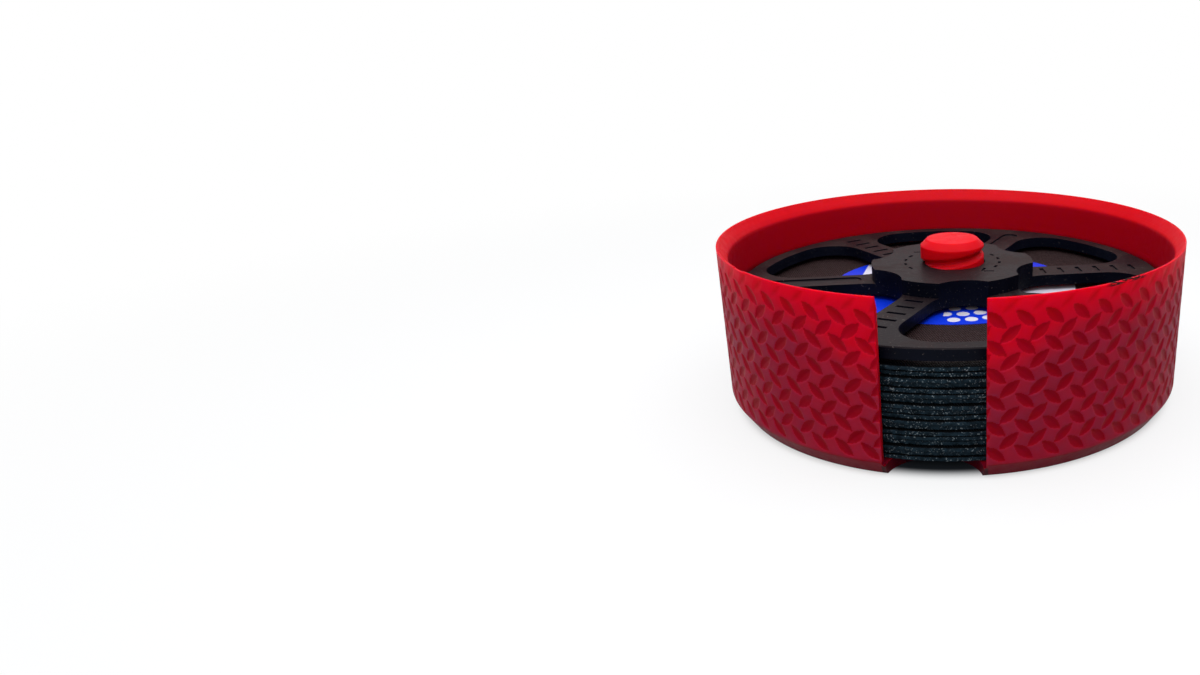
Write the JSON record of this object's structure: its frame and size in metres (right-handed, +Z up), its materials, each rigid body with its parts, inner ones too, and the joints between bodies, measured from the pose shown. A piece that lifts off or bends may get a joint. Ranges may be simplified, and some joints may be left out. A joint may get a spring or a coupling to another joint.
{
  "type": "grinding disc holder",
  "caption": "Round tray with a front slot and a central threaded post that stores a stack of cutting discs under a screw-down six-spoke clamp wheel.",
  "frame": {"origin": "centre of the tray's flat underside, on the post's axis", "axes": "+Z up along the post, the open slot faces -Y, +X to the right when facing the slot"},
  "size_m": [0.1344, 0.1332, 0.0465],
  "materials": {
    "red_plastic": "3-D printed, satin",
    "black_plastic": "3-D printed, satin",
    "abrasive": "resin-bonded grit",
    "ring_steel": "stamped",
    "label_paper": "coated print"
  },
  "bodies": {
    "tray": {"tray": "red_plastic", "threaded_post": "red_plastic"},
    "disc_stack": {"cutting_disc_01": "abrasive", "arbor_ring_01": "ring_steel", "disc_label_01": "label_paper", "cutting_disc_02": "abrasive", "arbor_ring_02": "ring_steel", "disc_label_02": "label_paper", "cutting_disc_03": "abrasive", "arbor_ring_03": "ring_steel", "disc_label_03": "label_paper", "cutting_disc_04": "abrasive", "arbor_ring_04": "ring_steel", "disc_label_04": "label_paper", "cutting_disc_05": "abrasive", "arbor_ring_05": "ring_steel", "disc_label_05": "label_paper", "cutting_disc_06": "abrasive", "arbor_ring_06": "ring_steel", "disc_label_06": "label_paper", "cutting_disc_07": "abrasive", "arbor_ring_07": "ring_steel", "disc_label_07": "label_paper", "cutting_disc_08": "abrasive", "arbor_ring_08": "ring_steel", "disc_label_08": "label_paper", "cutting_disc_09": "abrasive", "arbor_ring_09": "ring_steel", "disc_label_09": "label_paper", "cutting_disc_10": "abrasive", "arbor_ring_10": "ring_steel", "disc_label_10": "label_paper", "cutting_disc_11": "abrasive", "arbor_ring_11": "ring_steel", "disc_label_11": "label_paper", "cutting_disc_12": "abrasive", "arbor_ring_12": "ring_steel", "disc_label_12": "label_paper", "cutting_disc_13": "abrasive", "arbor_ring_13": "ring_steel", "disc_label_13": "label_paper", "cutting_disc_14": "abrasive", "arbor_ring_14": "ring_steel", "disc_label_14": "label_paper", "cutting_disc_15": "abrasive", "arbor_ring_15": "ring_steel", "disc_label_15": "label_paper", "cutting_disc_16": "abrasive", "arbor_ring_16": "ring_steel", "disc_label_16": "label_paper", "cutting_disc_17": "abrasive", "arbor_ring_17": "ring_steel", "disc_label_17": "label_paper"},
    "top_disc": {"cutting_disc_18": "abrasive", "arbor_ring_18": "ring_steel", "disc_label_18": "label_paper"},
    "clamp_wheel": {"clamp_wheel": "black_plastic"}
  },
  "joints": [
    {"name": "stack_turn", "type": "hinge", "parent": "tray", "child": "disc_stack", "pos_m": [0, 0, 0.015], "axis": [0, 0, 1], "continuous": true},
    {"name": "wheel_turn", "type": "hinge", "parent": "tray", "child": "top_disc", "pos_m": [0, 0, 0.0277], "axis": [0, 0, 1], "range_deg": [0, 792]},
    {"name": "wheel_climb", "type": "slide", "parent": "top_disc", "child": "clamp_wheel", "axis": [0, 0, 1], "range_m": [0, 0.01651]}
  ],
  "couplings": [
    {"joint": "wheel_climb", "follows": "wheel_turn", "m_per_rad": 0.0011937}
  ]
}
